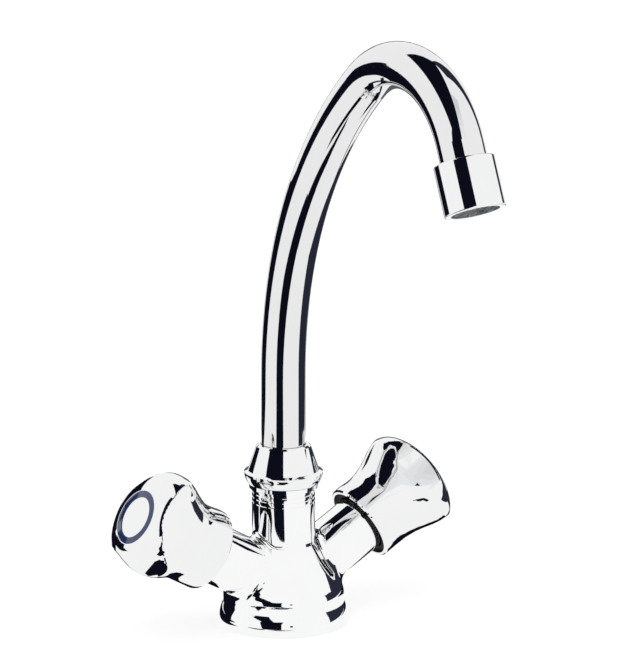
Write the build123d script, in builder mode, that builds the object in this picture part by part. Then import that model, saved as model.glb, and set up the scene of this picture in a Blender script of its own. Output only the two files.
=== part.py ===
"""Gooseneck basin mixer: Y-shaped body, two quarter-turn ceramic valves, swivel spout, aerator."""
import os
from math import cos, pi, radians, sin, tan

from build123d import *

os.makedirs("parts", exist_ok=True)

# Frame: millimetres, +Z up, origin at the centre of the foot's underside.
# The spout rests over -Y; the valve arms rise towards -X (left) and +X (right).

# Foot, hub and neck of the cast body
foot_radius = 26.6
foot_rim = 1.6
foot_flare = 1.8
flare_radius = 14.0
waist_height = 8.5
shoulder_height = 14.0
neck_wall = 0.9
neck_foot_rise = 7.3
neck_height = 58.2
neck_rim_step = 1.1
neck_rim_height = 1.6
spigot_length = 4.8
groove_depth = 0.45
groove_width = 0.9
groove_pitch = 2.0
groove_drop = 7.8
groove_count = 3
shoulder_blend = 8.0
arm_blend = 6.0
blend_share = 0.9
neck_blend = 2.4

# Valve arms
arm_tilt = 29.5
arm_height = 14.6
arm_radius = 12.1
arm_length = 46.0
arm_chamfer = 0.5
seat_along = 21.0
chamber_radius = 8.6
socket_radius = 9.0
socket_depth = 15.0

# Waterways and fixing hole in the body
inlet_spacing = 19.0
inlet_thread_radius = 4.5
inlet_thread_depth = 12.0
inlet_bore_radius = 3.5
outlet_height = 31.5
outlet_thickness = 3.8
outlet_width = 9.0
mixing_radius = 7.5
mixing_sump = 2.5
stud_radius = 3.4
stud_depth = 16.0
stud_offset = 14.5
hole_chamfer = 0.5

# Base seal let into the foot
seal_margin = 1.8
seal_width = 3.3
seal_thickness = 1.5

# Swivel joint of the spout
tube_radius = 9.0
tube_wall = 1.25
running_gap = 0.05
swivel_depth = 27.0
bush_wall = 1.05
bush_bore = 7.0
bush_foot_gap = 0.5
tube_grip = 16.4
flange_step = 1.25
flange_thickness = 2.4
glide_thickness = 1.0
o_ring_section = 1.56
o_ring_rises = (3.5, 8.5)
groove_play = 0.25

# Collar nut
thread_wall = 0.7
nut_gap = 0.2
nut_foot_wall = 2.3
nut_bowl_swell = 1.8
nut_bowl_height = 4.8
nut_bowl_radius = 9.0
nut_edge_step = 0.7
nut_edge_width = 1.6
nut_cone_height = 11.4
nut_top_wall = 1.8
nut_chamfer = 0.7
nut_clearance = 0.3
nut_lip = 1.3
slip_ring_length = 3.4
slip_ring_depth = 1.0
slip_ring_slit = 1.2

# Spout bends
riser_length = 53.0
lean_radius = 164.5
lean_angle = 51.0
crook_radius = 40.4
crook_angle = 105.8
nose_length = 6.8

# Aerator at the spout's end
sleeve_wall = 1.9
sleeve_length = 8.5
sleeve_recess = 0.2
housing_wall = 0.8
housing_step = 0.9
housing_length = 19.5
housing_lip = 1.2
housing_lip_depth = 0.7
housing_edge = 0.5
washer_thickness = 0.9
washer_width = 3.5
cartridge_flange = 1.0
cartridge_length = 7.0
cartridge_wall = 1.0
cartridge_roof = 1.4
jet_radius = 0.7
jet_rings = ((6, 3.0), (12, 6.2))
screen_thickness = 0.5
screen_bars = 7
screen_bar_width = 0.5

# Valve headpart
disc_radius = 5.75
disc_thickness = 3.2
disc_port_radius = 3.2
disc_port_width = 2.4
disc_port_angle = 70.0
notch_width = 4.8
disc_seal_thickness = 1.4
disc_seal_radius = 5.3
disc_seal_bore = 3.7
cage_wall = 0.85
cage_foot_gap = 0.8
cage_window_width = 7.0
cage_window_length = 4.0
bonnet_seal_thickness = 0.8
bonnet_flange_step = 0.7
bonnet_flange = 1.8
hex_width = 17.0
hex_length = 6.4
bonnet_neck_radius = 6.2
bonnet_neck = 3.3
spindle_radius = 4.6
spindle_collar_step = 0.9
spindle_collar = 2.9
collar_play = 0.3
spindle_seal_rise = 1.9
spindle_seal_section = 1.1
clip_gap = 0.2
clip_thickness = 0.9
clip_radius = 6.2
clip_groove_depth = 1.0
clip_opening = 4.0
spline_radius = 4.0
spline_depth = 0.45
spline_count = 20
tongue_width = 2.4
tongue_length = 8.0
tongue_height = 1.2

# Handle
mouth_overlap = 3.8
mouth_wall = 1.5
mouth_edge = 0.5
lobe_swell = 6.9
flute_swell = 0.2
lobe_count = 3
flare_start = 9.5
flare_length = 19.0
flare_stations = 7
outline_points = 24
handle_length = 37.4
crown_rim = 0.3
crown_run = 8.2
crown_slope = 12.0
crown_knee_step = 3.7
crown_knee_drop = 4.0
crown_step = 0.8
crown_drop = 11.0
crown_edge = 1.2
hub_bore = 11.0
front_wall = 4.0
index_depth = 3.1
index_width = 2.7
handle_turns = {"left": 76.0, "right": 20.0}

# Handle insert, index ring, index button and handle screw
arm_clearance = 0.5
insert_wall = 2.5
insert_recess = 1.0
insert_play = 0.1
insert_floor = 1.8
insert_clearance = 0.7
hex_clearance = 1.2
spindle_end_gap = 2.3
ring_slope = 0.5
button_crown = 0.4
button_roof = 0.8
screw_radius = 2.0
screw_length = 14.0
screw_head_radius = 3.8
screw_head = 2.2
screw_socket = 2.5
screw_socket_depth = 1.4

# Derived radii, from the tube outwards
tube_bore = tube_radius - tube_wall
bush_radius = tube_radius + bush_wall
swivel_bore = bush_radius + running_gap
flange_radius = bush_radius + flange_step
thread_radius = flange_radius + thread_wall
neck_radius = thread_radius + neck_wall
neck_rim_radius = neck_radius + neck_rim_step
nut_bore = tube_radius + nut_clearance
nut_foot_radius = thread_radius + nut_foot_wall
nut_edge_radius = nut_foot_radius + nut_bowl_swell
cone_foot_radius = nut_edge_radius - nut_edge_width
nut_top_radius = nut_bore + nut_top_wall
slip_ring_radius = nut_bore + slip_ring_depth
o_ring_minor = o_ring_section / 2
o_ring_major = bush_radius - o_ring_minor
sleeve_radius = tube_radius + sleeve_wall
housing_radius = sleeve_radius + housing_wall
housing_bore = sleeve_radius - housing_step
housing_lip_radius = housing_bore - housing_lip_depth
washer_bore = sleeve_radius - washer_width

# Derived heights in the body and the swivel joint
neck_top = neck_height + spigot_length
swivel_floor = neck_top - swivel_depth
bush_foot = swivel_floor + bush_foot_gap
bush_flange_foot = neck_top + glide_thickness
bush_top = bush_flange_foot + flange_thickness
tube_foot = bush_top - tube_grip
riser_top = tube_foot + riser_length
nut_shoulder = bush_top + glide_thickness
nut_foot = neck_height + nut_gap
nut_edge = nut_foot + nut_bowl_height
nut_top = nut_edge + nut_cone_height
slip_ring_top = nut_top - nut_lip
slip_ring_foot = slip_ring_top - slip_ring_length

# Derived places in the body
tilt = radians(arm_tilt)
crossing = Vector(0, 0, arm_height)
waist_radius = foot_radius - foot_flare
seal_outer = foot_radius - seal_margin
seal_inner = seal_outer - seal_width
neck_foot = arm_height + arm_radius + neck_foot_rise
shoulder_slope = (waist_radius - neck_radius) / (neck_foot - shoulder_height)
hub_top = neck_foot + neck_blend
inlet_x = inlet_spacing / 2
elbow_along = inlet_x / cos(tilt)
elbow_height = arm_height + inlet_x * tan(tilt)
outlet_reach = seat_along * cos(tilt)
mixing_floor = outlet_height - mixing_sump
arm_underside = arm_height + waist_radius * tan(tilt) - arm_radius / cos(tilt)
arm_blend_room = (arm_underside - waist_height) * tan((pi / 2 + tilt) / 2)

# Derived sizes and places along a valve arm
fixed_disc_along = seat_along + disc_seal_thickness
notch_floor = disc_port_radius - disc_port_width / 2
moving_disc_along = fixed_disc_along + disc_thickness
collar_along = moving_disc_along + disc_thickness
cage_foot = seat_along + cage_foot_gap
cage_bore = disc_radius + running_gap
cage_bore_end = collar_along + spindle_collar + collar_play
cage_radius = cage_bore + cage_wall
socket_along = arm_length - socket_depth
bonnet_flange_radius = arm_radius - bonnet_flange_step
bonnet_flange_along = arm_length + bonnet_seal_thickness
hex_along = bonnet_flange_along + bonnet_flange
bonnet_neck_along = hex_along + hex_length
bonnet_top = bonnet_neck_along + bonnet_neck
spindle_bore = spindle_radius + running_gap
spindle_collar_radius = spindle_radius + spindle_collar_step
spindle_seal_along = hex_along + spindle_seal_rise
spindle_seal_minor = spindle_seal_section / 2
spindle_seal_major = spindle_radius - spindle_seal_minor
clip_along = bonnet_top + clip_gap
clip_groove_radius = spindle_radius - clip_groove_depth
spline_along = clip_along + clip_thickness

# Derived sizes and places of a handle, from the arm outwards
insert_bore = arm_radius + arm_clearance
mouth_bore = insert_bore + insert_wall
mouth_radius = mouth_bore + mouth_wall
lobe_radius = mouth_radius + lobe_swell
flute_radius = mouth_radius + flute_swell
crown_knee_radius = lobe_radius - crown_knee_step
crown_radius = lobe_radius - crown_step
index_radius = crown_knee_radius - crown_run - crown_rim
button_radius = index_radius - index_width
mouth_along = arm_length - mouth_overlap
insert_along = mouth_along + insert_recess
insert_step = bonnet_neck_along + hex_clearance
hub_bore_along = insert_step + insert_floor
front_along = mouth_along + handle_length
index_floor = front_along - index_depth
front_wall_along = index_floor - front_wall
spindle_end = front_wall_along - spindle_end_gap
spline_length = spindle_end - spline_along


def arm_direction(side):
    """Unit vector out along a valve arm; side is -1 on the left and 1 on the right."""
    return Vector(side * cos(tilt), 0, sin(tilt))


def arm_axis(side):
    """The arm's centre line, from the point where both arms cross."""
    return Axis(crossing, arm_direction(side))


def arm_section(side):
    """Half-section plane of an arm: local X is the radius, local Y runs out along the arm."""
    return Plane(origin=crossing, x_dir=(-side * sin(tilt), 0, cos(tilt)), z_dir=(0, side, 0))


def arm_cross(side, along):
    """Plane square to an arm; its local X points to the front, local Z out along the arm."""
    out = arm_direction(side)
    return Plane(origin=crossing + out * along, x_dir=(0, -1, 0), z_dir=out)


def ring_points(inner, outer, low, high):
    """Corners of a plain ring's half-section."""
    return [(inner, low), (outer, low), (outer, high), (inner, high)]


def corner_points(radius, along, size, inward):
    """Triangle that chamfers a turned part's outer edge; inward, 1 or -1, is where its metal lies."""
    past = along - inward * size
    return [(radius - 2 * size, past), (radius + size, past), (radius + size, along + 2 * inward * size)]


def turned(plane, axis, points, mode=Mode.ADD):
    """Turn a closed half-section about an axis into the part that is being built."""
    with BuildSketch(plane) as half_section:
        with BuildLine():
            Polyline(*points, close=True)
        make_face()
    revolve(half_section.sketch, axis=axis, mode=mode)


def turned_circle(plane, axis, center, radius, mode=Mode.ADD):
    """Turn a round section about an axis: an O-ring, or the groove it lies in."""
    with BuildSketch(plane) as half_section:
        with Locations(center):
            Circle(radius)
    revolve(half_section.sketch, axis=axis, mode=mode)


def countersink(plane, center, radius, size):
    """Cut a hole's lead-in at a plane's face: a short cone as wide at its foot as the hole."""
    with BuildSketch(plane) as mouth:
        with Locations(center):
            Circle(radius + size)
    extrude(mouth.sketch, amount=size, taper=45, mode=Mode.SUBTRACT)


def star_points(grow):
    """Corners of the spindle's splined section, every tooth a ridge, grown by a clearance."""
    step = pi / spline_count
    radii = (spline_radius + grow, spline_radius - spline_depth + grow)
    return [(radii[i % 2] * cos(i * step), radii[i % 2] * sin(i * step)) for i in range(2 * spline_count)]


def flare_share(station):
    """How far the handle has flared, from 0 at its round mouth to 1 at its lobed front."""
    share = min(max((station - flare_start) / flare_length, 0), 1)
    return share * share * (3 - 2 * share)


def lobed_outline(station, turn):
    """Points on the handle's outline: a circle at the mouth that swells into three soft lobes."""
    share = flare_share(station)
    lobe = mouth_radius + (lobe_radius - mouth_radius) * share
    flute = mouth_radius + (flute_radius - mouth_radius) * share
    points = []
    for i in range(outline_points):
        angle = 2 * pi * i / outline_points
        radius = (lobe + flute) / 2 + (lobe - flute) / 2 * cos(lobe_count * (angle - radians(turn)))
        points.append((radius * cos(angle), radius * sin(angle)))
    return points


def on_crest(edge):
    """Whether an edge of the handle keeps clear of its mouth, as only the crest's edges do."""
    reach = [(vertex.center() - crossing).length for vertex in edge.vertices()]
    return min(reach) > (mouth_along ** 2 + lobe_radius ** 2) ** 0.5


# Body casting: flared foot and waist, sloping shoulder, two arms and the neck, blended into each other
with BuildPart() as mixer_body:
    with BuildSketch(Plane.XZ):
        with BuildLine():
            floor_line = Line((0, 0), (foot_radius, 0))
            rim_line = Line(floor_line @ 1, (foot_radius, foot_rim))
            flare = RadiusArc(rim_line @ 1, (waist_radius, waist_height), -flare_radius)
            waist = Line(flare @ 1, (waist_radius, shoulder_height))
            shoulder = Line(waist @ 1, (neck_radius - neck_blend * shoulder_slope, hub_top))
            Polyline(shoulder @ 1, (0, hub_top), (0, 0))
        make_face()
    revolve(axis=Axis.Z)
    waist_rings = mixer_body.edges().filter_by(GeomType.CIRCLE).group_by(Axis.Z)
    fillet(waist_rings[-2], radius=shoulder_blend)
    with BuildSketch(arm_cross(-1, 0), arm_cross(1, 0)):
        Circle(arm_radius)
    extrude(amount=arm_length)
    arm_roots = mixer_body.edges(Select.NEW).filter_by(GeomType.BSPLINE)
    fillet(arm_roots, radius=min(arm_blend, blend_share * arm_blend_room))
    with BuildSketch(Plane.XY.offset(arm_height)):
        Circle(neck_radius)
    extrude(amount=neck_height - arm_height)
    fillet(mixer_body.edges(Select.NEW).filter_by(GeomType.BSPLINE), radius=neck_blend)
    # Rim and grooves at the neck's top, and the spigot that carries the nut's thread
    turned(Plane.XZ, Axis.Z, ring_points(0, neck_rim_radius, neck_height - neck_rim_height, neck_height))
    turned(Plane.XZ, Axis.Z, ring_points(0, thread_radius, neck_height, neck_top))
    for i in range(groove_count):
        groove_height = neck_height - groove_drop + i * groove_pitch
        groove_floor = neck_radius - groove_depth
        groove = ring_points(groove_floor, neck_rim_radius, groove_height, groove_height + groove_width)
        turned(Plane.XZ, Axis.Z, groove, mode=Mode.SUBTRACT)
    # Socket for the spout's bush and the mixing chamber under it
    turned(Plane.XZ, Axis.Z, ring_points(0, swivel_bore, swivel_floor, neck_top), mode=Mode.SUBTRACT)
    turned(Plane.XZ, Axis.Z, ring_points(0, mixing_radius, mixing_floor, swivel_floor), mode=Mode.SUBTRACT)
    # Flat passages from both valve chambers to the mixing chamber
    with BuildSketch(Plane.YZ):
        with Locations((0, outlet_height)):
            SlotOverall(outlet_width, outlet_thickness)
    extrude(amount=outlet_reach, both=True, mode=Mode.SUBTRACT)
    for side in (-1, 1):
        # Threaded socket, valve chamber and the inlet elbow of one arm
        turned(arm_section(side), arm_axis(side),
               ring_points(0, socket_radius, socket_along, arm_length), mode=Mode.SUBTRACT)
        turned(arm_section(side), arm_axis(side),
               ring_points(0, chamber_radius, seat_along, socket_along), mode=Mode.SUBTRACT)
        turned(arm_section(side), arm_axis(side),
               ring_points(0, inlet_bore_radius, elbow_along, seat_along), mode=Mode.SUBTRACT)
        with BuildSketch(Plane.XY):
            with Locations((side * inlet_x, 0)):
                Circle(inlet_bore_radius)
        extrude(amount=elbow_height, mode=Mode.SUBTRACT)
        with BuildSketch(Plane.XY):
            with Locations((side * inlet_x, 0)):
                Circle(inlet_thread_radius)
        extrude(amount=inlet_thread_depth, mode=Mode.SUBTRACT)
        countersink(Plane.XY, (side * inlet_x, 0), inlet_thread_radius, hole_chamfer)
        # Chamfer round the arm's end
        turned(arm_section(side), arm_axis(side), corner_points(arm_radius, arm_length, arm_chamfer, -1),
               mode=Mode.SUBTRACT)
    # Blind hole for the fixing stud, and the groove for the base seal
    with BuildSketch(Plane.XY):
        with Locations((0, stud_offset)):
            Circle(stud_radius)
    extrude(amount=stud_depth, mode=Mode.SUBTRACT)
    countersink(Plane.XY, (0, stud_offset), stud_radius, hole_chamfer)
    turned(Plane.XZ, Axis.Z, ring_points(seal_inner, seal_outer, 0, seal_thickness), mode=Mode.SUBTRACT)
mixer_body.part.label = "mixer_body"
export_step(mixer_body.part, "parts/mixer_body.step")

# Base seal: flat rubber ring, flush with the foot's underside
with BuildPart() as base_seal:
    turned(Plane.XZ, Axis.Z, ring_points(seal_inner, seal_outer, 0, seal_thickness))
base_seal.part.label = "base_seal"
export_step(base_seal.part, "parts/base_seal.step")

# Spout tube: straight riser, long lean forward, tight crook, short nose
spout_plane = Plane(origin=(0, 0, 0), x_dir=(0, -1, 0), z_dir=(-1, 0, 0))
with BuildPart() as spout_tube:
    with BuildLine(spout_plane) as spout_path:
        riser = Line((0, tube_foot), (0, riser_top))
        lean = JernArc(riser @ 1, riser % 1, lean_radius, -lean_angle)
        crook = JernArc(lean @ 1, lean % 1, crook_radius, -crook_angle)
        Line(crook @ 1, crook @ 1 + (crook % 1) * (nose_length + sleeve_length))
    with BuildSketch(Plane.XY.offset(tube_foot)):
        Circle(tube_radius)
        Circle(tube_bore, mode=Mode.SUBTRACT)
    sweep(path=spout_path.line)
spout_tube.part.label = "spout_tube"
export_step(spout_tube.part, "parts/spout_tube.step")

# The outlet frame: origin at the aerator's top face, local Y out of the spout
outlet_direction = spout_path.line % 1
outlet_origin = spout_path.line @ 1 - outlet_direction * sleeve_length
outlet_section = Plane(
    origin=outlet_origin, x_dir=(1, 0, 0), z_dir=(0, -outlet_direction.Z, outlet_direction.Y)
)
outlet_axis = Axis(outlet_origin, outlet_direction)


def outlet_cross(along):
    """Plane square to the outlet, a distance below the aerator's top face."""
    return Plane(origin=outlet_origin + outlet_direction * along, x_dir=(1, 0, 0), z_dir=outlet_direction)


# Swivel bush: brass sleeve on the tube's foot with a retaining flange and two O-ring grooves
with BuildPart() as spout_bush:
    turned(Plane.XZ, Axis.Z, ring_points(0, bush_radius, bush_foot, bush_flange_foot))
    turned(Plane.XZ, Axis.Z, ring_points(0, flange_radius, bush_flange_foot, bush_top))
    turned(Plane.XZ, Axis.Z, ring_points(0, bush_bore, bush_foot, tube_foot), mode=Mode.SUBTRACT)
    turned(Plane.XZ, Axis.Z, ring_points(0, tube_radius, tube_foot, bush_top), mode=Mode.SUBTRACT)
    for rise in o_ring_rises:
        height = bush_foot + rise
        low = height - o_ring_minor - groove_play
        high = height + o_ring_minor + groove_play
        groove = ring_points(bush_radius - o_ring_section, swivel_bore, low, high)
        turned(Plane.XZ, Axis.Z, groove, mode=Mode.SUBTRACT)
spout_bush.part.label = "spout_bush"
export_step(spout_bush.part, "parts/spout_bush.step")

# Spout O-rings: two seals in the bush's grooves
with BuildPart() as spout_o_rings:
    for rise in o_ring_rises:
        turned_circle(Plane.XZ, Axis.Z, (o_ring_major, bush_foot + rise), o_ring_minor)
spout_o_rings.part.label = "spout_o_rings"
export_step(spout_o_rings.part, "parts/spout_o_rings.step")

# Glide rings: plastic washers under and over the bush's flange
with BuildPart() as lower_glide_ring:
    turned(Plane.XZ, Axis.Z, ring_points(swivel_bore, flange_radius, neck_top, bush_flange_foot))
lower_glide_ring.part.label = "lower_glide_ring"
export_step(lower_glide_ring.part, "parts/lower_glide_ring.step")

with BuildPart() as upper_glide_ring:
    turned(Plane.XZ, Axis.Z, ring_points(nut_bore, flange_radius, bush_top, nut_shoulder))
upper_glide_ring.part.label = "upper_glide_ring"
export_step(upper_glide_ring.part, "parts/upper_glide_ring.step")

# Collar nut: rounded bowl, sharp edge, cone and a chamfered mouth round the tube
with BuildPart() as spout_nut:
    with BuildSketch(Plane.XZ):
        with BuildLine():
            foot_line = Line((thread_radius, nut_foot), (nut_foot_radius, nut_foot))
            bowl = RadiusArc(foot_line @ 1, (nut_edge_radius, nut_edge), -nut_bowl_radius)
            Polyline(
                bowl @ 1,
                (cone_foot_radius, nut_edge + nut_edge_step),
                (nut_top_radius, nut_top - nut_chamfer),
                (nut_top_radius - nut_chamfer, nut_top),
                (nut_bore, nut_top),
                (nut_bore, nut_shoulder),
                (flange_radius + nut_clearance, nut_shoulder),
                (flange_radius + nut_clearance, neck_top),
                (thread_radius, neck_top),
                foot_line @ 0,
            )
        make_face()
    revolve(axis=Axis.Z)
    recess = ring_points(0, slip_ring_radius, slip_ring_foot, slip_ring_top)
    turned(Plane.XZ, Axis.Z, recess, mode=Mode.SUBTRACT)
spout_nut.part.label = "spout_nut"
export_step(spout_nut.part, "parts/spout_nut.step")

# Slip ring: split plastic ring in the nut that steadies the tube
with BuildPart() as collar_slip_ring:
    slip_ring = ring_points(tube_radius + running_gap, slip_ring_radius, slip_ring_foot, slip_ring_top)
    turned(Plane.XZ, Axis.Z, slip_ring)
    with BuildSketch(Plane.XY.offset(slip_ring_foot)):
        with Locations((0, tube_radius)):
            Rectangle(slip_ring_slit, tube_radius)
    extrude(amount=slip_ring_length, mode=Mode.SUBTRACT)
collar_slip_ring.part.label = "collar_slip_ring"
export_step(collar_slip_ring.part, "parts/collar_slip_ring.step")

# Outlet sleeve: threaded ring soldered round the tube's end
with BuildPart() as outlet_sleeve:
    sleeve = ring_points(tube_radius, sleeve_radius, sleeve_recess, sleeve_length)
    turned(outlet_section, outlet_axis, sleeve)
outlet_sleeve.part.label = "outlet_sleeve"
export_step(outlet_sleeve.part, "parts/outlet_sleeve.step")

# Aerator, from the sleeve down: washer, cartridge, screen, all held by the screwed housing
washer_end = sleeve_length + washer_thickness
flange_end = washer_end + cartridge_flange
cartridge_end = flange_end + cartridge_length
cartridge_radius = housing_bore - insert_play
thread_bore = sleeve_radius + running_gap
with BuildPart() as aerator_housing:
    turned(outlet_section, outlet_axis, ring_points(0, housing_radius, 0, housing_length))
    fillet(aerator_housing.edges().filter_by(GeomType.CIRCLE), radius=housing_edge)
    turned(outlet_section, outlet_axis, ring_points(0, thread_bore, 0, flange_end), mode=Mode.SUBTRACT)
    turned(outlet_section, outlet_axis,
           ring_points(0, housing_bore, flange_end, housing_length - housing_lip), mode=Mode.SUBTRACT)
    outlet = ring_points(0, housing_lip_radius, housing_length - housing_lip, housing_length)
    turned(outlet_section, outlet_axis, outlet, mode=Mode.SUBTRACT)
aerator_housing.part.label = "aerator_housing"
export_step(aerator_housing.part, "parts/aerator_housing.step")

with BuildPart() as aerator_washer:
    turned(outlet_section, outlet_axis, ring_points(washer_bore, sleeve_radius, sleeve_length, washer_end))
aerator_washer.part.label = "aerator_washer"
export_step(aerator_washer.part, "parts/aerator_washer.step")

with BuildPart() as aerator_cartridge:
    turned(outlet_section, outlet_axis, ring_points(0, sleeve_radius, washer_end, flange_end))
    turned(outlet_section, outlet_axis, ring_points(0, cartridge_radius, flange_end, cartridge_end))
    hollow = ring_points(0, cartridge_radius - cartridge_wall, washer_end + cartridge_roof, cartridge_end)
    turned(outlet_section, outlet_axis, hollow, mode=Mode.SUBTRACT)
    with BuildSketch(outlet_cross(washer_end)):
        for jets, ring_radius in jet_rings:
            with PolarLocations(ring_radius, jets):
                Circle(jet_radius)
    extrude(amount=cartridge_roof, mode=Mode.SUBTRACT)
aerator_cartridge.part.label = "aerator_cartridge"
export_step(aerator_cartridge.part, "parts/aerator_cartridge.step")

with BuildPart() as aerator_screen:
    with BuildSketch(outlet_cross(cartridge_end)):
        Circle(cartridge_radius)
        Circle(cartridge_radius - cartridge_wall, mode=Mode.SUBTRACT)
        bar_pitch = 2 * cartridge_radius / (screen_bars + 1)
        for i in range(screen_bars):
            offset = (i + 1) * bar_pitch - cartridge_radius
            reach = 2 * (cartridge_radius ** 2 - offset ** 2) ** 0.5 - cartridge_wall
            with Locations((offset, 0)):
                Rectangle(screen_bar_width, reach)
            with Locations((0, offset)):
                Rectangle(reach, screen_bar_width)
    extrude(amount=screen_thickness)
aerator_screen.part.label = "aerator_screen"
export_step(aerator_screen.part, "parts/aerator_screen.step")

# Both valves and handles
for hand, side in (("left", -1), ("right", 1)):
    section = arm_section(side)
    axis = arm_axis(side)

    # Rubber seal between the casting's seat and the fixed disc
    with BuildPart() as disc_seal:
        turned(section, axis, ring_points(disc_seal_bore, disc_seal_radius, seat_along, fixed_disc_along))
    disc_seal.part.label = f"{hand}_disc_seal"
    export_step(disc_seal.part, f"parts/{hand}_disc_seal.step")

    # Fixed ceramic disc with two kidney ports
    with BuildPart() as fixed_disc:
        with BuildSketch(arm_cross(side, fixed_disc_along)):
            Circle(disc_radius)
            for start in (0, 180):
                port_start = start - disc_port_angle / 2
                port = CenterArc((0, 0), disc_port_radius, port_start, disc_port_angle, mode=Mode.PRIVATE)
                SlotArc(port, disc_port_width, mode=Mode.SUBTRACT)
        extrude(amount=disc_thickness)
    fixed_disc.part.label = f"{hand}_fixed_disc"
    export_step(fixed_disc.part, f"parts/{hand}_fixed_disc.step")

    # Moving ceramic disc: two notches, a quarter turn away from the ports while the valve is shut
    with BuildPart() as moving_disc:
        with BuildSketch(arm_cross(side, moving_disc_along)):
            Circle(disc_radius)
            with Locations((0, disc_radius), (0, -disc_radius)):
                Rectangle(notch_width, 2 * (disc_radius - notch_floor), mode=Mode.SUBTRACT)
        extrude(amount=disc_thickness)
        with BuildSketch(arm_cross(side, collar_along - tongue_height)):
            Rectangle(tongue_length + insert_play, tongue_width + insert_play)
        extrude(amount=tongue_height, mode=Mode.SUBTRACT)
    moving_disc.part.label = f"{hand}_moving_disc"
    export_step(moving_disc.part, f"parts/{hand}_moving_disc.step")

    # Bonnet: windowed cage for the discs, thread, flange, spanner hexagon and neck
    with BuildPart() as bonnet:
        turned(section, axis, ring_points(0, cage_radius, cage_foot, socket_along))
        turned(section, axis, ring_points(0, socket_radius, socket_along, bonnet_flange_along))
        turned(section, axis, ring_points(0, bonnet_flange_radius, bonnet_flange_along, hex_along))
        with BuildSketch(arm_cross(side, hex_along)):
            RegularPolygon(hex_width / 2, 6, major_radius=False)
        extrude(amount=hex_length)
        turned(section, axis, ring_points(0, bonnet_neck_radius, bonnet_neck_along, bonnet_top))
        turned(section, axis, ring_points(0, cage_bore, cage_foot, cage_bore_end), mode=Mode.SUBTRACT)
        turned(section, axis, ring_points(0, spindle_bore, cage_bore_end, bonnet_top), mode=Mode.SUBTRACT)
        with BuildSketch(arm_cross(side, moving_disc_along)):
            Rectangle(2 * cage_radius + cage_window_width, cage_window_width)
        extrude(amount=cage_window_length, mode=Mode.SUBTRACT)
    bonnet.part.label = f"{hand}_bonnet"
    export_step(bonnet.part, f"parts/{hand}_bonnet.step")

    with BuildPart() as bonnet_seal:
        flat_ring = ring_points(socket_radius, bonnet_flange_radius, arm_length, bonnet_flange_along)
        turned(section, axis, flat_ring)
    bonnet_seal.part.label = f"{hand}_bonnet_seal"
    export_step(bonnet_seal.part, f"parts/{hand}_bonnet_seal.step")

    # Spindle: driving tongue, collar, sealed shank, clip groove and splines, tapped for the handle screw
    with BuildPart() as spindle:
        with BuildSketch(arm_cross(side, collar_along - tongue_height)):
            Rectangle(tongue_length, tongue_width)
        extrude(amount=tongue_height)
        shank_along = collar_along + spindle_collar
        turned(section, axis, ring_points(0, spindle_collar_radius, collar_along, shank_along))
        turned(section, axis, ring_points(0, spindle_radius, shank_along, clip_along))
        turned(section, axis, ring_points(0, clip_groove_radius, clip_along, spline_along))
        with BuildSketch(arm_cross(side, spline_along)):
            with BuildLine():
                Polyline(*star_points(0), close=True)
            make_face()
        extrude(amount=spline_length)
        low = spindle_seal_along - spindle_seal_minor - groove_play / 2
        high = spindle_seal_along + spindle_seal_minor + groove_play / 2
        groove = ring_points(spindle_radius - spindle_seal_section, spindle_bore, low, high)
        turned(section, axis, groove, mode=Mode.SUBTRACT)
        screw_end = index_floor - screw_length
        turned(section, axis, ring_points(0, screw_radius, screw_end, spindle_end), mode=Mode.SUBTRACT)
    spindle.part.label = f"{hand}_spindle"
    export_step(spindle.part, f"parts/{hand}_spindle.step")

    with BuildPart() as spindle_seal:
        turned_circle(section, axis, (spindle_seal_major, spindle_seal_along), spindle_seal_minor)
    spindle_seal.part.label = f"{hand}_spindle_seal"
    export_step(spindle_seal.part, f"parts/{hand}_spindle_seal.step")

    # Snap ring in the spindle's groove, open on one side
    with BuildPart() as spindle_clip:
        with BuildSketch(arm_cross(side, clip_along)):
            Circle(clip_radius)
            Circle(clip_groove_radius, mode=Mode.SUBTRACT)
            with Locations((clip_radius, 0)):
                Rectangle(clip_radius, clip_opening, mode=Mode.SUBTRACT)
        extrude(amount=clip_thickness)
    spindle_clip.part.label = f"{hand}_spindle_clip"
    export_step(spindle_clip.part, f"parts/{hand}_spindle_clip.step")

    # Handle: round mouth flaring into three lobes, cut off by a shallow crown with a seat for the index
    turn = handle_turns[hand]
    with BuildPart() as handle:
        for i in range(flare_stations):
            station = i * (handle_length + crown_rim) / (flare_stations - 1)
            with BuildSketch(arm_cross(side, mouth_along + station)):
                with BuildLine():
                    Spline(*lobed_outline(station, turn), periodic=True)
                make_face()
        loft()
        with BuildSketch(section):
            with BuildLine():
                rim = Line((0, front_along), (index_radius + crown_rim, front_along))
                slope = (cos(radians(crown_slope)), -sin(radians(crown_slope)))
                knee = (crown_knee_radius, front_along - crown_knee_drop)
                crown = TangentArc(rim @ 1, knee, tangent=slope)
                shoulder_foot = (crown_radius, front_along - crown_drop)
                shoulder = TangentArc(crown @ 1, shoulder_foot, tangent=crown % 1)
                Polyline(shoulder @ 1, (crown_radius, mouth_along), (0, mouth_along), rim @ 0)
            make_face()
        revolve(axis=axis, mode=Mode.INTERSECT)
        fillet(handle.edges().filter_by(GeomType.BSPLINE).filter_by(on_crest), radius=crown_edge)
        turned(section, axis, corner_points(mouth_radius, mouth_along, mouth_edge, 1), mode=Mode.SUBTRACT)
        turned(section, axis, ring_points(0, mouth_bore, mouth_along, hub_bore_along), mode=Mode.SUBTRACT)
        turned(section, axis, ring_points(0, hub_bore, hub_bore_along, front_wall_along), mode=Mode.SUBTRACT)
        turned(section, axis, ring_points(0, screw_radius + insert_play, front_wall_along, index_floor),
               mode=Mode.SUBTRACT)
        turned(section, axis, ring_points(0, index_radius, index_floor, front_along), mode=Mode.SUBTRACT)
    handle.part.label = f"{hand}_handle"
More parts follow.
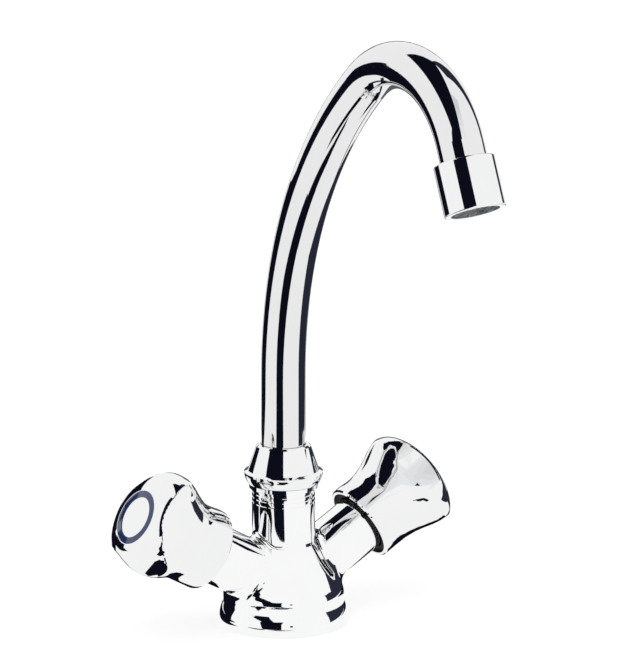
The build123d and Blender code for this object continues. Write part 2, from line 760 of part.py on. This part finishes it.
    export_step(handle.part, f"parts/{hand}_handle.step")

    # Insert: dark plastic liner with the splined socket that grips the spindle
    with BuildPart() as handle_insert:
        turned(section, axis, ring_points(0, mouth_bore - insert_play, insert_along, hub_bore_along))
        turned(section, axis, ring_points(0, hub_bore - insert_play, hub_bore_along, front_wall_along))
        turned(section, axis, ring_points(0, insert_bore, insert_along, insert_step), mode=Mode.SUBTRACT)
        clip_room = ring_points(0, clip_radius + insert_clearance, insert_step, spline_along)
        turned(section, axis, clip_room, mode=Mode.SUBTRACT)
        with BuildSketch(arm_cross(side, spline_along)):
            with BuildLine():
                Polyline(*star_points(running_gap), close=True)
            make_face()
        extrude(amount=front_wall_along - spline_along, mode=Mode.SUBTRACT)
    handle_insert.part.label = f"{hand}_handle_insert"
    export_step(handle_insert.part, f"parts/{hand}_handle_insert.step")

    # Handle screw with a hexagon socket
    with BuildPart() as handle_screw:
        turned(section, axis, ring_points(0, screw_radius, screw_end, index_floor))
        turned(section, axis, ring_points(0, screw_head_radius, index_floor, index_floor + screw_head))
        with BuildSketch(arm_cross(side, index_floor + screw_head - screw_socket_depth)):
            RegularPolygon(screw_socket / 2, 6, major_radius=False)
        extrude(amount=screw_socket_depth, mode=Mode.SUBTRACT)
    handle_screw.part.label = f"{hand}_handle_screw"
    export_step(handle_screw.part, f"parts/{hand}_handle_screw.step")

    # Coloured index ring, its face sloping back to the crown
    with BuildPart() as index_ring:
        turned(section, axis, [
            (button_radius, index_floor),
            (index_radius - running_gap, index_floor),
            (index_radius - running_gap, front_along - ring_slope / 2),
            (button_radius, front_along + ring_slope / 2),
        ])
    index_ring.part.label = f"{hand}_index_ring"
    export_step(index_ring.part, f"parts/{hand}_index_ring.step")

    # Index button: low-crowned cap over the screw
    with BuildPart() as index_button:
        with BuildSketch(section):
            with BuildLine():
                button_edge = (button_radius - running_gap, front_along)
                button_tip = (0, front_along + button_crown)
                dome_radius = (button_edge[0] ** 2 + button_crown ** 2) / (2 * button_crown)
                head_room = screw_head_radius + insert_clearance
                roof = Line((head_room, index_floor), (button_edge[0], index_floor))
                side_line = Line(roof @ 1, button_edge)
                dome = RadiusArc(side_line @ 1, button_tip, -dome_radius)
                Polyline(
                    dome @ 1,
                    (0, front_along - button_roof + button_crown),
                    (head_room, front_along - button_roof + button_crown),
                    roof @ 0,
                )
            make_face()
        revolve(axis=axis)
    index_button.part.label = f"{hand}_index_button"
    export_step(index_button.part, f"parts/{hand}_index_button.step")
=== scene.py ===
"""Gooseneck basin mixer: finishes, screw threads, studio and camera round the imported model."""
import math

import bpy
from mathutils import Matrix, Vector


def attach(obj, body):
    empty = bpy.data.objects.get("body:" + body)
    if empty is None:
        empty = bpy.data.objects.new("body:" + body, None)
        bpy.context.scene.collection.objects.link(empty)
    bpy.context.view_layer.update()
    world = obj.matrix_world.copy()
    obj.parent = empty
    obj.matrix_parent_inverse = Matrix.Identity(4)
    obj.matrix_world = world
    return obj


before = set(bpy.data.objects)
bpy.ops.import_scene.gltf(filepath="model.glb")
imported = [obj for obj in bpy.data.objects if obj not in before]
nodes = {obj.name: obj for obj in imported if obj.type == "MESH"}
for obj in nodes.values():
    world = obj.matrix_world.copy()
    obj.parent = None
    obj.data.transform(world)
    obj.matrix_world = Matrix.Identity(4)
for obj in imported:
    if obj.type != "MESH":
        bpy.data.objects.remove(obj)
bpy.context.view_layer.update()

# The photograph's frame in pixels, and the camera found from it in metres and degrees
photo_width = 620
photo_height = 654
view_azimuth = -31.99
view_elevation = 12.56
view_distance = 1.4539
view_target = Vector((0, 0, 0.120))
focal_pixels = 3604.8
axis_pixel = (283.24, 334.15)
sensor = 36.0
clip_near = 0.05
clip_far = 50.0

# The two valves, with the side of the mixer that each is on and how far its arm rises
hands = {"left": -1, "right": 1}
valve_rise = math.radians(29.5)

# The outlet's axis, and how far along it the outlet sleeve's plated rim begins, in metres
outlet_axis = (0, 0.39394, 0.91914)
outlet_rim = 0.1420
upright = (0, 0, 1)

# Screw threads in the body's bores: foot, core radius, pitch and turns, in metres
bore_threads = {
    "inlet_left": ((-0.0095, 0, 0.0066), 0.0045, 0.001, 11),
    "inlet_right": ((0.0095, 0, 0.0066), 0.0045, 0.001, 11),
    "stud_hole": ((0, 0.0145, 0.0088), 0.0034, 0.00125, 12),
}
thread_share = 0.24
thread_sink = 0.00003
thread_steps = 36
thread_corners = 3

# Metals: each pair is a dull and a bright tone; lengths in metres
# The casting's chrome is toned brighter than the tube's and the trim's, though they are one plating:
# painted light, so that the body looks more brightly lit
lit_casting_tones = ((0.91, 0.915, 0.92), (0.95, 0.95, 0.955))
tube_tones = ((0.79, 0.79, 0.795), (0.83, 0.83, 0.83))
plate_tones = ((0.86, 0.865, 0.87), (0.9, 0.9, 0.905))
brass_tones = ((0.64, 0.47, 0.22), (0.8, 0.63, 0.34))
steel_tones = ((0.5, 0.5, 0.495), (0.64, 0.64, 0.63))
chrome_haze = 0.02
casting_peel = 0.000004
handle_peel = 0.000002
smooth_peel = 0.000001
lathe_pitch = 0.00028
lathe_depth = 0.000006
plating_edge = 0.0001
scratch_depth = 0.000004

# Plastics, rubber and ceramic: each pair is a dark and a light tone; lengths in metres
rubber_tones = ((0.026, 0.026, 0.029), (0.05, 0.05, 0.053))
white_tones = ((0.81, 0.81, 0.775), (0.87, 0.87, 0.845))
# Near-black: the handle inserts are black plastic, and this darkness, with the shine taken from them, also
# stands for the painted shade in each handle's mouth
black_and_shade_tones = ((0.008, 0.0085, 0.0105), (0.015, 0.016, 0.019))
grey_tones = ((0.2, 0.21, 0.225), (0.27, 0.28, 0.3))
ceramic_tones = ((0.86, 0.85, 0.815), (0.91, 0.905, 0.88))
blue_tones = ((0.012, 0.025, 0.1), (0.022, 0.045, 0.16))
red_tones = ((0.4, 0.01, 0.018), (0.48, 0.015, 0.025))
pit_depth = 0.00001
grain_depth = 0.000004
fine_grain_depth = 0.000002
ripple_depth = 0.000003

# Light: a white studio with one soft lamp, in metres and watts
plain_light = 0.72
key_power = 9.0
key_size = 1.6
key_place = Vector((-0.7, -0.9, 2.0))
floor_reach = 6.0
floor_tone = 0.94
shadow_tone = 0.5
floor_glow = 0.66

# Cards, like a studio's flags: the chrome mirrors them, and all other light passes through them.
# Their corners are in metres: aside to the camera's right, forward to the camera, and up, from the
# centre of the mixer's foot.
black = (0.004, 0.0045, 0.011)
navy = (0.022, 0.025, 0.042)
grey = (0.11, 0.115, 0.13)
white = (1.0, 1.0, 1.0)
card_lift = 0.0004

# Level cards: shade, height, the side that the chrome sees, and corners aside and forward
level_cards = {
    "ceiling": (black, 3.0, "both", (
        (-1.89, -1.47), (0.59, -1.47), (0.59, 4.55), (0.04, 4.77), (-2.78, 4.99))),
    "front_near": (black, 0.0, "both", (
        (-0.03, 0.068), (0.0, 0.068), (0.025, 0.088), (0.02, 0.112), (-0.04, 0.112), (-0.02, 0.09))),
    "front_link": (black, 0.03, "above", (
        (-0.03, 0.098), (0.021, 0.098), (0.012, 0.136), (-0.072, 0.136))),
    "front_middle": (black, 0.0, "both", (
        (-0.085, 0.14), (0.01, 0.14), (0.006, 0.2), (-0.17, 0.2))),
    "front_far": (black, 0.0, "both", (
        (-0.17, 0.2), (0.006, 0.2), (-0.005, 0.35), (-0.21, 3.0), (-2.34, 3.0), (-0.25, 0.35),
        (-0.19, 0.25))),
    "under_handle": (black, 0.0, "both", (
        (-0.072, 0.05), (-0.058, 0.042), (-0.036, 0.044), (-0.033, 0.056), (-0.046, 0.088),
        (-0.07, 0.108), (-0.086, 0.1), (-0.078, 0.07))),
    "right_under": (black, 0.0, "both", (
        (0.036, -0.036), (0.105, -0.036), (0.125, -0.13), (0.036, -0.13))),
    "left_under": (black, 0.0, "both", (
        (-0.13, -0.06), (-0.13, 0.008), (-0.075, 0.012), (-0.05, 0.006), (-0.043, 0.008),
        (-0.034, 0.02), (-0.03, 0.012), (-0.03, -0.06))),
    "left_floor": (black, 0.0, "both", (
        (-0.11, -0.26), (-0.24, -0.165), (-0.37, -0.105), (-0.7, -0.12), (-1.3, -0.48),
        (-4.0, -1.62), (-4.0, -3.13), (-2.0, -1.6), (-1.0, -0.95), (-0.5, -0.9), (-0.3, -0.55))),
    "back_floor": (grey, 0.0, "both", (
        (-0.12, -0.3), (0.15, -0.3), (0.9, -4.0), (-0.9, -4.0))),
    "left_crest": (black, 0.1, "below", (
        (-0.038, 0.056), (-0.044, 0.075), (-0.055, 0.088), (-0.059, 0.097), (-0.062, 0.15),
        (-0.16, 0.145), (-0.11, 0.074), (-0.094, 0.06), (-0.077, 0.05), (-0.06, 0.043))),
    "right_rim": (black, 0.09, "below", (
        (0.062, -0.045), (0.118, -0.048), (0.118, -0.006), (0.092, -0.006), (0.066, -0.018))),
    "foot_left": (black, 0.03, "below", (
        (-0.05, 0.042), (-0.022, 0.038), (-0.02, 0.1), (-0.05, 0.1))),
    "white_shelf": (white, 0.185, "below", (
        (-0.12, 0.1), (0.12, 0.1), (0.12, 0.24), (-0.12, 0.24))),
    "left_shelf": (white, 0.15, "below", (
        (-0.25, -0.1), (-0.06, -0.1), (-0.06, 0.06), (-0.25, 0.06))),
    "foot_shelf": (white, 0.05, "below", (
        (-0.045, 0.045), (0.08, 0.045), (0.08, 0.12), (-0.045, 0.12))),
}

# Standing cards: shade, and corners aside, forward and up
standing_cards = {
    "front_gap": (black, (
        (-2.34, 3.0, 0.0), (-0.21, 3.0, 0.0), (-0.21, 3.0, 0.95), (0.26, 3.0, 1.94),
        (-1.73, 3.0, 2.2), (-2.90, 3.0, 1.4))),
    "right_dash": (black, (
        (0.6, 3.0, 0.39), (0.86, 3.0, 0.39), (0.86, 3.0, 0.68), (0.6, 3.0, 0.68))),
    "back_far": (grey, (
        (-0.9, -4.0, 0), (0.9, -4.0, 0), (0.9, -4.0, 0.9), (-0.9, -4.0, 0.9))),
    "back_low": (navy, (
        (-0.2, -0.13, 0), (0.195, -0.13, 0), (0.195, -0.13, 0.03), (-0.2, -0.13, 0.03))),
    "left_far": (black, (
        (-4.0, -3.13, 0), (-4.0, -1.62, 0), (-4.0, -1.62, 0.5), (-4.0, -3.13, 0.5))),
    "left_flag": (black, (
        (-0.12, -0.015, 0), (-0.12, -0.16, 0), (-0.12, -0.16, 0.04), (-0.12, -0.015, 0.04))),
    "left_tall": (black, (
        (-0.254, -0.159, 0), (-0.15, -0.26, 0), (-0.15, -0.26, 0.16), (-0.254, -0.159, 0.16))),
    "right_flag": (navy, (
        (0.195, 0.02, 0), (0.195, -1.0, 0), (0.195, -1.0, 0.085), (0.195, 0.02, 0.085))),
    "right_high": (navy, (
        (4.13, -3.0, 0), (2.34, -3.0, 0), (1.73, -3.0, 2.2), (0.75, -3.0, 6.0), (3.84, -3.0, 9.4))),
}

# A level card beside the ceiling that shades the right handle softly: strips between rungs, which
# all start on one line, with a rung's start forward and its end aside and forward
soft_height = 3.0
soft_side = 0.59
soft_rungs = (
    (0.8, (1.5, 0.6)), (1.75, (1.5, 1.45)), (2.1, (1.6, 1.75)), (2.5, (1.7, 2.1)), (3.0, (1.8, 2.6)),
    (3.7, (2.0, 3.4)),
)
soft_shades = (
    (0.74, 0.75, 0.765), (0.79, 0.80, 0.81), (0.84, 0.845, 0.85), (0.89, 0.893, 0.896),
    (0.94, 0.942, 0.944),
)


class Wire:
    """A socket on which arithmetic is written as a plain expression; each step adds a Math node."""

    def __init__(self, tree, socket):
        self.tree = tree
        self.socket = socket

    def maths(self, operation, *values):
        return self.tree.node("ShaderNodeMath", {"operation": operation}, dict(enumerate(values)))

    def __add__(self, other):
        return self.maths("ADD", self, other)

    def __radd__(self, other):
        return self.maths("ADD", other, self)

    def __sub__(self, other):
        return self.maths("SUBTRACT", self, other)

    def __rsub__(self, other):
        return self.maths("SUBTRACT", other, self)

    def __mul__(self, other):
        return self.maths("MULTIPLY", self, other)

    def __rmul__(self, other):
        return self.maths("MULTIPLY", other, self)

    def clamped(self):
        return self.tree.node("ShaderNodeClamp", {}, {"Value": self})


class Tree:
    """A node tree and the one way of adding a node to it."""

    def __init__(self, node_tree):
        self.node_tree = node_tree
        node_tree.nodes.clear()

    def node(self, kind, settings, inputs, output=0):
        """Add a node: first its settings, then its sockets' values or links, with a list where one
        socket takes several links. Gives one of its outputs."""
        made = self.node_tree.nodes.new(kind)
        for name, value in settings.items():
            setattr(made, name, value)
        for name, value in inputs.items():
            for part in value if isinstance(value, list) else [value]:
                if isinstance(part, Wire):
                    self.node_tree.links.new(part.socket, made.inputs[name])
                else:
                    made.inputs[name].default_value = part
        if not made.outputs:
            return None
        return Wire(self, made.outputs[output])


class Shading(Tree):
    """Shader nodes of the world, the studio and the finishes."""

    def ray(self, kind):
        """1 for rays of one kind, such as Is Camera Ray, and 0 for others."""
        return self.node("ShaderNodeLightPath", {}, {}, kind)

    def under(self):
        """1 where a face is seen from its back."""
        return self.node("ShaderNodeNewGeometry", {}, {}, "Backfacing")

    def glow(self, shade, strength=1.0):
        return self.node("ShaderNodeEmission", {}, {"Color": colour(shade), "Strength": strength})

    def clear(self):
        return self.node("ShaderNodeBsdfTransparent", {}, {})

    def mix(self, factor, first, second):
        """One surface where the factor is 0 and another where it is 1."""
        return self.node("ShaderNodeMixShader", {}, {0: factor, 1: first, 2: second})


class Paint(Shading):
    """A material."""

    def __init__(self, name):
        self.material = bpy.data.materials.new(name)
        self.material.use_nodes = True
        super().__init__(self.material.node_tree)

    def close(self, surface):
        self.node("ShaderNodeOutputMaterial", {}, {"Surface": surface})
        return self.material


class Finish(Paint):
    """A material of the mixer, with patterns that follow Object coordinates in metres."""

    def __init__(self, name):
        super().__init__(name)
        self.place = self.node("ShaderNodeTexCoord", {}, {}, "Object")

    def noise(self, scale, detail, roughness=0.5, stretch=None):
        """Noise with about scale blotches to the metre, from 0 to 1."""
        place = self.place
        if stretch:
            place = self.node("ShaderNodeMapping", {}, {"Vector": place, "Scale": stretch})
        return self.node(
            "ShaderNodeTexNoise",
            {},
            {"Vector": place, "Scale": scale, "Detail": detail, "Roughness": roughness},
        )

    def along(self, axis):
        """Distance along an axis through the origin, in metres."""
        return self.node(
            "ShaderNodeVectorMath", {"operation": "DOT_PRODUCT"}, {0: self.place, 1: axis}, "Value")

    def rings(self, axis, pitch):
        """Lathe lines square to an axis, from 0 to 1, a pitch apart."""
        turns = self.along(axis) * (2 * math.pi / pitch)
        return 0.5 + 0.5 * turns.maths("SINE", turns)

    def bump(self, height, depth, strength=1.0):
        """Normal from a height of 0 to 1 that stands for a depth in metres."""
        return self.node(
            "ShaderNodeBump", {}, {"Height": height, "Distance": depth, "Strength": strength})

    def blend(self, factor, first, second):
        """A colour between two others."""
        inputs = {"Factor": factor, 6: colour(first), 7: colour(second)}
        return self.node("ShaderNodeMix", {"data_type": "RGBA"}, inputs, 2)

    def finish(self, **sockets):
        """Close the material with its surface; underscores join the words of the sockets' names."""
        named = {
            name.replace("_", " ").title().replace("Ior", "IOR"): value
            for name, value in sockets.items()
        }
        return self.close(self.node("ShaderNodeBsdfPrincipled", {}, named))


def colour(value):
    """A colour with its alpha; a link is passed as it is."""
    return value if isinstance(value, Wire) else (*value[:3], 1.0)


def level(tone):
    """A neutral colour."""
    return (tone, tone, tone, 1.0)


def span(pattern, low, high):
    """A pattern of 0 to 1 stretched between two values."""
    return low + (high - low) * pattern


def edge(distance, softness):
    """A soft step: 0 below the edge, 1 above it."""
    return (distance * (1 / softness) + 0.5).clamped()


def chrome(name, tones, peel):
    """Bright chrome plate: faint orange peel, polishing haze and hairlines."""
    made = Finish(name)
    blotches = made.noise(scale=70, detail=3)
    hairlines = made.noise(scale=900, detail=2, roughness=0.6, stretch=(1, 1, 0.05))
    waves = made.noise(scale=140, detail=1)
    return made.finish(
        base_color=made.blend(blotches, *tones),
        metallic=1.0,
        roughness=span(blotches, chrome_haze, 2 * chrome_haze) + 0.25 * chrome_haze * hairlines,
        normal=made.bump(waves, peel),
    )


def turned_brass(name, axis, plated_above=None):
    """Bright turned brass with fine lathe lines square to its axis; its visible rim may be plated."""
    made = Finish(name)
    lines = made.rings(axis, lathe_pitch)
    blotches = made.noise(scale=160, detail=3)
    tone = made.blend(blotches, *brass_tones)
    if plated_above is not None:
        rim = edge(made.along(axis) - plated_above, plating_edge)
        tone = made.blend(rim, tone, plate_tones[0])
    return made.finish(
        base_color=tone,
        metallic=1.0,
        roughness=span(blotches, 0.2, 0.34) + 0.05 * lines,
        normal=made.bump(lines, lathe_depth, strength=0.7),
    )


def stainless(name):
    """Spring steel, tumbled bright, with short random scratches."""
    made = Finish(name)
    scratches = made.noise(scale=2600, detail=2, roughness=0.7, stretch=(1, 0.15, 1))
    clouds = made.noise(scale=220, detail=2)
    return made.finish(
        base_color=made.blend(clouds, *steel_tones),
        metallic=1.0,
        roughness=span(scratches, 0.22, 0.38),
        normal=made.bump(scratches, scratch_depth, strength=0.6),
    )


def rubber(name, tones):
    """Moulded nitrile: matt, finely pitted, with a faint grey bloom in patches."""
    made = Finish(name)
    pits = made.noise(scale=3200, detail=2, roughness=0.6)
    patches = made.noise(scale=90, detail=3)
    return made.finish(
        base_color=made.blend(patches * patches, *tones),
        roughness=span(pits, 0.58, 0.78),
        specular_ior_level=0.35,
        normal=made.bump(pits, pit_depth, strength=0.8),
    )


def moulded(name, tones, roughness, grain, depth, shine):
    """Moulded plastic with a spark-eroded grain and slow flow marks in its colour."""
    made = Finish(name)
    speckle = made.noise(scale=grain, detail=2)
    flow = made.noise(scale=110, detail=2, stretch=(1, 1, 0.35))
    return made.finish(
        base_color=made.blend(flow, *tones),
        roughness=span(speckle, roughness, roughness + 0.12),
        specular_ior_level=shine,
        normal=made.bump(speckle, depth, strength=0.7),
    )


def glazed(name, tones, roughness):
    """Glossy coloured plastic or lapped ceramic: nearly smooth, with a clear skin over its colour."""
    made = Finish(name)
    clouds = made.noise(scale=260, detail=3)
    ripple = made.noise(scale=420, detail=1)
    return made.finish(
        base_color=made.blend(clouds, *tones),
        roughness=span(clouds, roughness, roughness + 0.04),
        coat_weight=0.35,
        coat_roughness=0.04,
        normal=made.bump(ripple, ripple_depth, strength=0.5),
    )


def assign(material, *names):
    """Give CAD nodes their material."""
    for name in names:
        slots = nodes[name].data.materials
        slots.clear()
        slots.append(material)


def of_both(*names):
    """The full names of nodes that each valve has."""
    return [f"{hand}_{name}" for name in names for hand in hands]


def make_finishes():
    """All materials, by the record's slots."""
    # The body's chrome takes the brighter casting tones: painted light on one plating
    assign(chrome("chrome_casting", lit_casting_tones, casting_peel), "mixer_body")
    assign(chrome("chrome_trim", plate_tones, smooth_peel), "spout_nut", "aerator_housing")
    assign(chrome("chrome_tube", tube_tones, smooth_peel), "spout_tube")
    assign(chrome("chrome_handle", plate_tones, handle_peel), *of_both("handle"))
    assign(chrome("index_button", plate_tones, smooth_peel), *of_both("index_button"))

    assign(turned_brass("brass_bush", upright), "spout_bush")
    assign(turned_brass("brass_sleeve", outlet_axis, outlet_rim), "outlet_sleeve")
    for hand, side in hands.items():
        valve_axis = (side * math.cos(valve_rise), 0, math.sin(valve_rise))
        assign(turned_brass(f"brass_{hand}", valve_axis), f"{hand}_bonnet", f"{hand}_spindle")
    assign(stainless("steel"), *of_both("spindle_clip", "handle_screw"))

    assign(rubber("rubber", rubber_tones), "base_seal", "spout_o_rings", "aerator_washer",
           *of_both("disc_seal", "bonnet_seal", "spindle_seal"))
    assign(moulded("white_plastic", white_tones, roughness=0.34, grain=2600, depth=grain_depth, shine=0.4),
           "lower_glide_ring", "upper_glide_ring", "collar_slip_ring")
    # The handle inserts: black plastic made nearly shineless, partly painted shade for the gap in each
    # handle's mouth
    assign(moulded("black_plastic", black_and_shade_tones, roughness=0.2, grain=3000, depth=fine_grain_depth,
                   shine=0.01), *of_both("handle_insert"))
    assign(moulded("grey_plastic", grey_tones, roughness=0.36, grain=2600, depth=grain_depth, shine=0.4),
           "aerator_cartridge", "aerator_screen")
    assign(glazed("ceramic", ceramic_tones, roughness=0.1), *of_both("fixed_disc", "moving_disc"))
    assign(glazed("index_blue", blue_tones, roughness=0.08), "left_index_ring")
    assign(glazed("index_red", red_tones, roughness=0.08), "right_index_ring")


def thread_tree():
    """Geometry Nodes that add one helical ridge, round an upright bore, to the mesh that comes in."""
    group = bpy.data.node_groups.new("thread", "GeometryNodeTree")
    sockets = {
        "Geometry": "NodeSocketGeometry", "Foot": "NodeSocketVector", "Core Radius": "NodeSocketFloat",
        "Pitch": "NodeSocketFloat", "Turns": "NodeSocketFloat", "Material": "NodeSocketMaterial",
    }
    names = {
        name: group.interface.new_socket(name=name, in_out="INPUT", socket_type=kind).identifier
        for name, kind in sockets.items()
    }
    group.interface.new_socket(name="Geometry", in_out="OUTPUT", socket_type="NodeSocketGeometry")
    tree = Tree(group)
    given = {name: tree.node("NodeGroupInput", {}, {}, name) for name in sockets}
    flank = given["Pitch"] * thread_share
    middle = given["Core Radius"] + thread_sink - flank * 0.5
    helix = tree.node("GeometryNodeCurveSpiral", {}, {
        "Resolution": thread_steps, "Rotations": given["Turns"], "Start Radius": middle,
        "End Radius": middle, "Height": given["Pitch"] * given["Turns"]})
    steady = tree.node("GeometryNodeSetCurveNormal", {"mode": "Z_UP"}, {"Curve": helix})
    profile = tree.node("GeometryNodeCurvePrimitiveCircle", {"mode": "RADIUS"}, {
        "Resolution": thread_corners, "Radius": flank})
    turned = tree.node(
        "GeometryNodeTransform", {}, {"Geometry": profile, "Rotation": (0, 0, math.pi)})
    ridge = tree.node("GeometryNodeCurveToMesh", {}, {
        "Curve": steady, "Profile Curve": turned, "Fill Caps": True})
    placed = tree.node("GeometryNodeTransform", {}, {"Geometry": ridge, "Translation": given["Foot"]})
    real = tree.node("GeometryNodeRealizeInstances", {}, {"Geometry": placed})
    finished = tree.node(
        "GeometryNodeSetMaterial", {}, {"Geometry": real, "Material": given["Material"]})
    joined = tree.node("GeometryNodeJoinGeometry", {}, {"Geometry": [finished, given["Geometry"]]})
    tree.node("NodeGroupOutput", {}, {"Geometry": joined})
    return group, names


def make_threads():
    """The screw threads in the bores under the foot, which the CAD bores leave plain."""
    group, names = thread_tree()
    cut_brass = turned_brass("brass_thread", upright)
    piece = bpy.data.objects.new("bore_threads", bpy.data.meshes.new("bore_threads"))
    bpy.context.scene.collection.objects.link(piece)
    for bore, (foot, core_radius, pitch, turns) in bore_threads.items():
        thread = piece.modifiers.new(bore, "NODES")
        thread.node_group = group
        values = {"Foot": foot, "Core Radius": core_radius, "Pitch": pitch, "Turns": float(turns),
                  "Material": cut_brass}
        for name, value in values.items():
            thread[names[name]] = value
    graph = bpy.context.evaluated_depsgraph_get()
    mesh = bpy.data.meshes.new_from_object(piece.evaluated_get(graph))
    piece.modifiers.clear()
    piece.data = mesh
    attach(piece, "root")


def spread(aside, forward, height):
    """A point given along the camera's view, in the mixer's frame."""
    turn = math.radians(view_azimuth)
    return Vector((
        aside * math.cos(turn) + forward * math.sin(turn),
        aside * math.sin(turn) - forward * math.cos(turn),
        height,
    ))


def make_world():
    """White behind the mixer and in its mirrors, and a plain level of light on everything else."""
    world = bpy.data.worlds.new("studio")
    world.use_nodes = True
    bpy.context.scene.world = world
    made = Shading(world.node_tree)
    bright = made.node("ShaderNodeBackground", {}, {"Color": level(1.0), "Strength": 1.0})
    plain = made.node("ShaderNodeBackground", {}, {"Color": level(1.0), "Strength": plain_light})
    seen = (made.ray("Is Camera Ray") + made.ray("Is Glossy Ray")).clamped()
    made.node("ShaderNodeOutputWorld", {}, {"Surface": made.mix(seen, plain, bright)})


def make_key():
    """One soft lamp, high on the left, which the mirrors don't show."""
    key = bpy.data.lights.new("key", "AREA")
    key.size = key_size
    key.energy = key_power
    lamp = bpy.data.objects.new("key", key)
    lamp.location = key_place
    lamp.rotation_euler = (view_target - key_place).to_track_quat("-Z", "Y").to_euler()
    lamp.visible_glossy = False
    bpy.context.scene.collection.objects.link(lamp)


def stage_piece(name, points, face, material):
    """A flat piece of the studio, which isn't part of the mixer."""
    mesh = bpy.data.meshes.new(name)
    mesh.from_pydata(points, [], [face])
    mesh.materials.append(material)
    piece = bpy.data.objects.new(name, mesh)
    bpy.context.scene.collection.objects.link(piece)


def make_floor():
    """A pale floor: near white to the camera, with a soft shadow, plain white in the mirrors, and
    clear from below."""
    made = Paint("floor")
    paper = made.node("ShaderNodeBsdfDiffuse", {}, {"Color": level(floor_tone)})
    faint = made.node("ShaderNodeBsdfDiffuse", {}, {"Color": level(shadow_tone)})
    shown = made.node("ShaderNodeAddShader", {}, {0: faint, 1: made.glow(white, floor_glow)})
    lit = made.mix(made.ray("Is Camera Ray"), paper, shown)
    mirrored = made.mix(made.ray("Is Glossy Ray"), lit, made.glow(white))
    material = made.close(made.mix(made.under(), mirrored, made.clear()))
    signs = ((-1, -1), (1, -1), (1, 1), (-1, 1))
    corners = [Vector((x * floor_reach, y * floor_reach, 0)) for x, y in signs]
    stage_piece("floor", corners, range(4), material)


def make_card(name, shade, corners, side="both"):
    """One card: the chrome mirrors it, from both sides or from one, and other rays pass through."""
    made = Paint(name)
    shown = made.ray("Is Glossy Ray")
    if side == "below":
        shown = shown * made.under()
    if side == "above":
        shown = shown * (1 - made.under())
    material = made.close(made.mix(shown, made.clear(), made.glow(shade)))
    points = [spread(aside, forward, height + card_lift) for aside, forward, height in corners]
    face = list(range(len(points)))
    if sum(points[i - 1].cross(points[i]).z for i in face) < 0:
        face.reverse()
    stage_piece(name, points, face, material)


def make_cards():
    """Everything that the chrome mirrors besides the white room."""
    for name, (shade, height, side, outline) in level_cards.items():
        make_card(name, shade, [(*corner, height) for corner in outline], side)
    for name, (shade, corners) in standing_cards.items():
        make_card(name, shade, corners)
    strips = zip(soft_shades, soft_rungs, soft_rungs[1:])
    for count, (shade, (start, end), (next_start, next_end)) in enumerate(strips, 1):
        outline = ((soft_side, start), end, next_end, (soft_side, next_start))
        make_card(f"right_soft_{count}", shade, [(*corner, soft_height) for corner in outline])


def make_camera():
    """The photograph's camera: aimed along the ray of the picture's middle."""
    azimuth = math.radians(view_azimuth)
    elevation = math.radians(view_elevation)
    back = Vector((
        math.sin(azimuth) * math.cos(elevation),
        -math.cos(azimuth) * math.cos(elevation),
        math.sin(elevation),
    ))
    right = Vector((math.cos(azimuth), math.sin(azimuth), 0))
    up = back.cross(right)
    off_axis = (photo_width / 2 - axis_pixel[0], photo_height / 2 - axis_pixel[1])
    aim = -back + right * (off_axis[0] / focal_pixels) - up * (off_axis[1] / focal_pixels)
    lens = bpy.data.cameras.new("camera")
    lens.sensor_fit = "AUTO"
    lens.sensor_width = sensor
    lens.lens = focal_pixels * sensor / photo_height
    lens.clip_start = clip_near
    lens.clip_end = clip_far
    camera = bpy.data.objects.new("camera", lens)
    camera.location = view_target + back * view_distance
    camera.rotation_mode = "QUATERNION"
    camera.rotation_quaternion = aim.to_track_quat("-Z", "Y")
    bpy.context.scene.collection.objects.link(camera)
    bpy.context.scene.camera = camera


make_camera()
make_world()
make_key()
make_floor()
make_cards()
make_finishes()
make_threads()
bpy.context.scene.view_settings.view_transform = "Standard"
